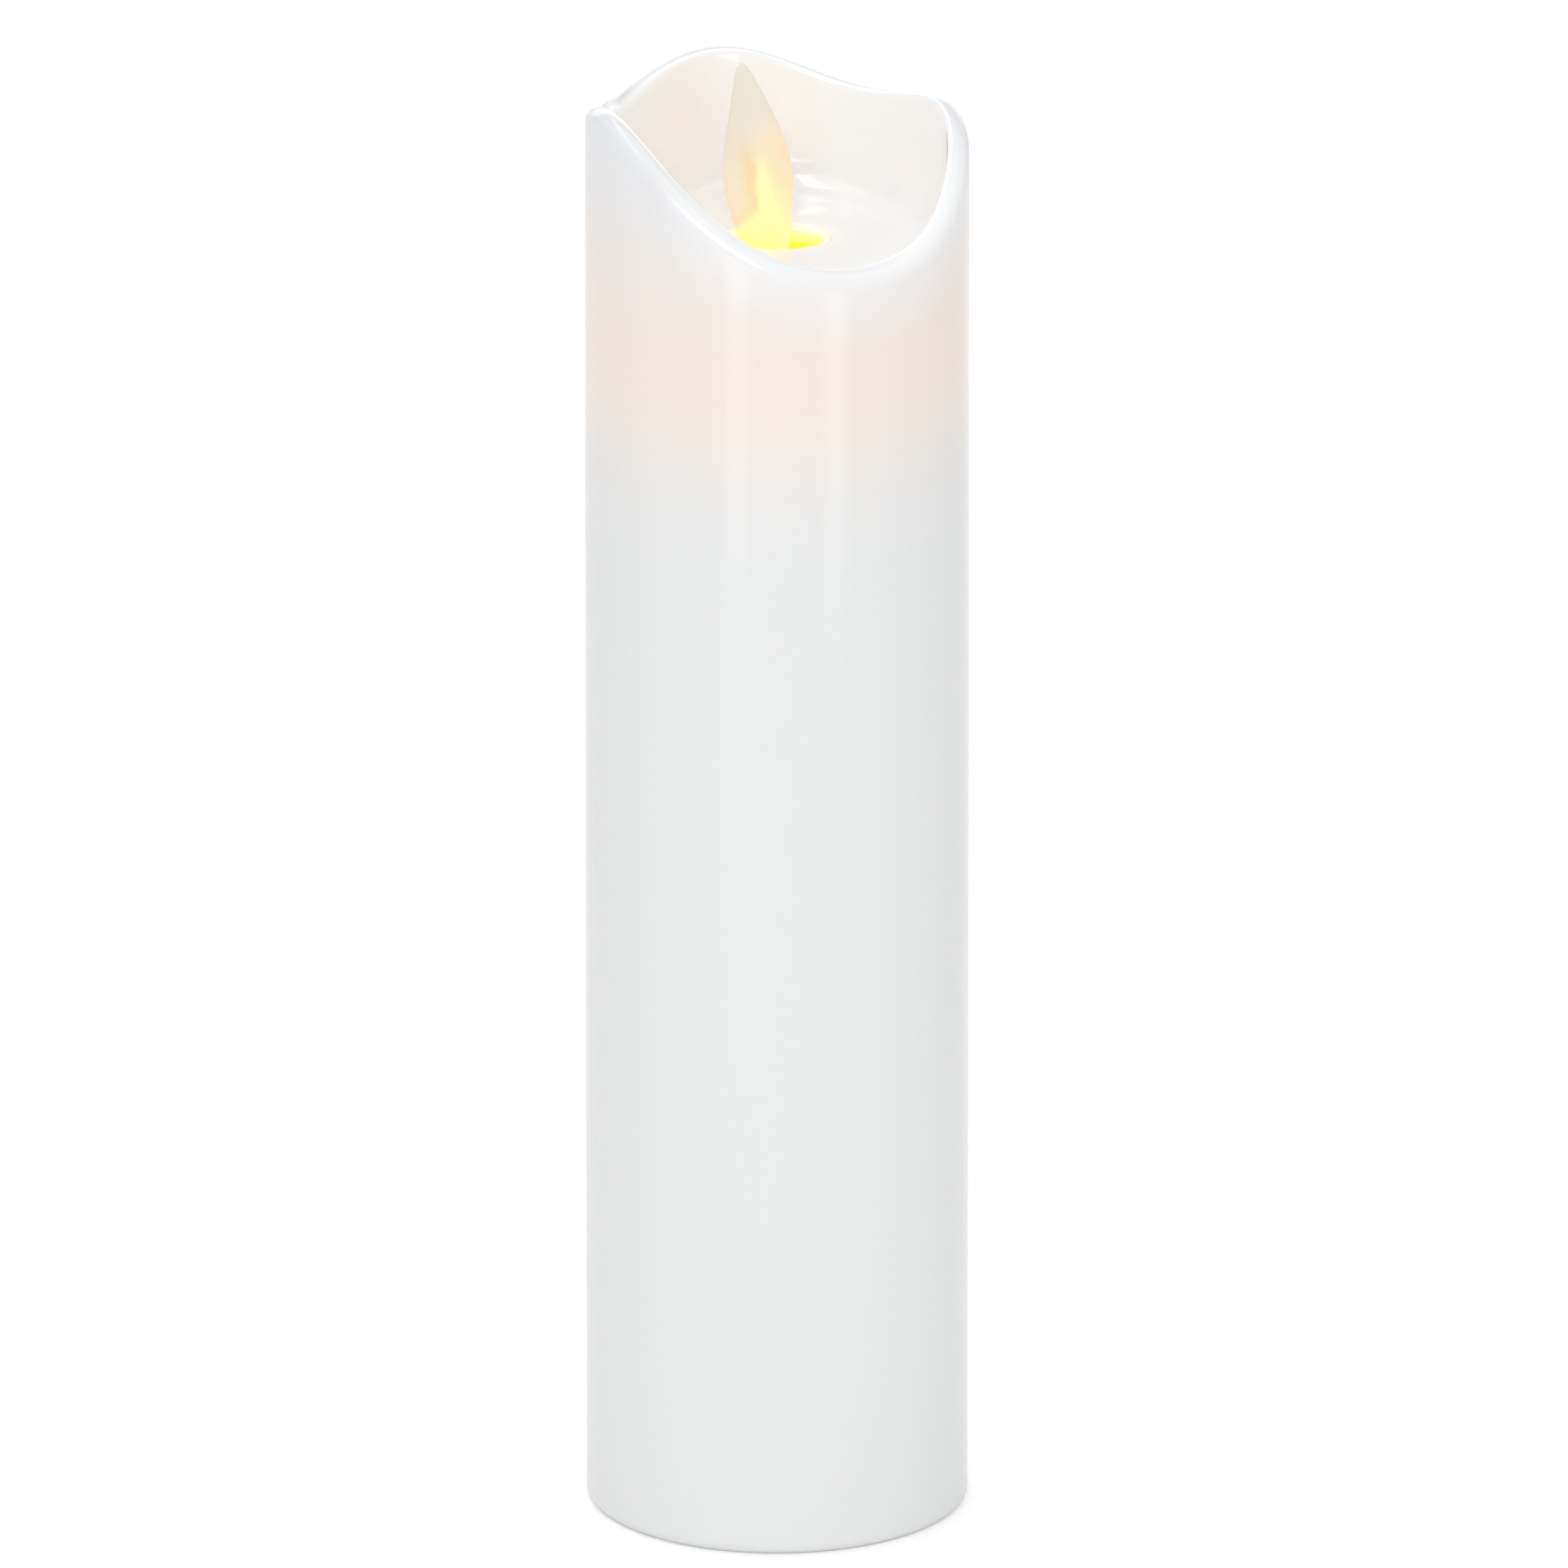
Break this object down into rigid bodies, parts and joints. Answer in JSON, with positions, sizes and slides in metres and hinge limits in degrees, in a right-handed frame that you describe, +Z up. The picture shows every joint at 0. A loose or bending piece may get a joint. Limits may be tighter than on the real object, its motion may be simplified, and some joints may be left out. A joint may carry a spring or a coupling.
{
  "type": "flameless led candle",
  "caption": "Tall white wax pillar candle, battery lit, with a wavy melted rim, a hollowed top and a leaf-shaped flame that sways in it.",
  "frame": {"origin": "centre of the foot, on the surface the candle stands on", "axes": "+Z up along the candle's axis; -Y is the side that the lowest part of the rim faces; +X to the right seen from there"},
  "size_m": [0.053, 0.053, 0.2089],
  "materials": {
    "wax": "smooth cast wax with a soft gloss",
    "flame_leaf": "frosted, thin, lets light through",
    "clear_ring": "clear, smooth",
    "core_plastic": "moulded, fine satin",
    "case_plastic": "moulded, fine satin",
    "base_plastic": "moulded, fine texture",
    "screw_steel": "zinc plated",
    "spring_steel": "bright drawn wire",
    "nickel": "nickel plated",
    "magnet": "nickel plated",
    "bobbin_plastic": "moulded",
    "copper_winding": "enamelled copper wire",
    "lamp_epoxy": "clear warm-tinted epoxy",
    "board_green": "solder mask",
    "component_black": "moulded epoxy",
    "capacitor_sleeve": "shrunk sleeve",
    "crystal_can": "drawn can",
    "tinned_wire": "tinned",
    "wire_white": "vinyl insulation",
    "wire_red": "vinyl insulation",
    "wire_black": "vinyl insulation",
    "wire_blue": "vinyl insulation",
    "cell_steel": "nickel-plated can",
    "cell_wrap": "plain printed film",
    "switch_metal": "tinned steel",
    "knob_black": "moulded"
  },
  "bodies": {
    "candle_body": {"wax_shell": "wax", "throat_collar": "clear_ring", "core_tube": "core_plastic", "top_screws": "screw_steel", "mechanism_case_left": "case_plastic", "mechanism_case_right": "case_plastic", "case_screws": "screw_steel", "pivot_wire": "spring_steel", "coil_bobbin": "bobbin_plastic", "coil_winding": "copper_winding", "coil_leads": "copper_winding", "led_lamp": "lamp_epoxy", "led_holder": "case_plastic", "led_leads": "tinned_wire", "led_wires": "wire_white", "circuit_board": "board_green", "control_chip": "component_black", "board_resistors": "component_black", "board_transistors": "component_black", "board_capacitor": "capacitor_sleeve", "timer_crystal": "crystal_can", "board_screws": "screw_steel", "base_housing": "base_plastic", "base_screws": "screw_steel", "cell_can_left": "cell_steel", "cell_can_right": "cell_steel", "cell_wrap_left": "cell_wrap", "cell_wrap_right": "cell_wrap", "positive_contact": "nickel", "negative_contact": "nickel", "negative_spring": "nickel", "switch_can": "switch_metal", "switch_terminals": "tinned_wire", "wire_positive": "wire_red", "wire_negative": "wire_black", "wire_switched": "wire_blue"},
    "flame": {"flame_paddle": "flame_leaf", "paddle_magnet": "magnet"},
    "door": {"battery_door": "base_plastic", "door_contact": "nickel", "door_spring": "nickel"},
    "switch": {"switch_knob": "knob_black"}
  },
  "joints": [
    {"name": "flame_swing", "type": "hinge", "parent": "candle_body", "child": "flame", "pos_m": [0, 0, 0.1722], "axis": [0, 1, 0], "range_deg": [-4.25, 19.75]},
    {"name": "door_hinge", "type": "hinge", "parent": "candle_body", "child": "door", "pos_m": [-0.0156, 0, 0.00335], "axis": [0, 1, 0], "range_deg": [0, 90]},
    {"name": "switch_slide", "type": "slide", "parent": "candle_body", "child": "switch", "axis": [1, 0, 0], "range_m": [0, 0.004]}
  ]
}
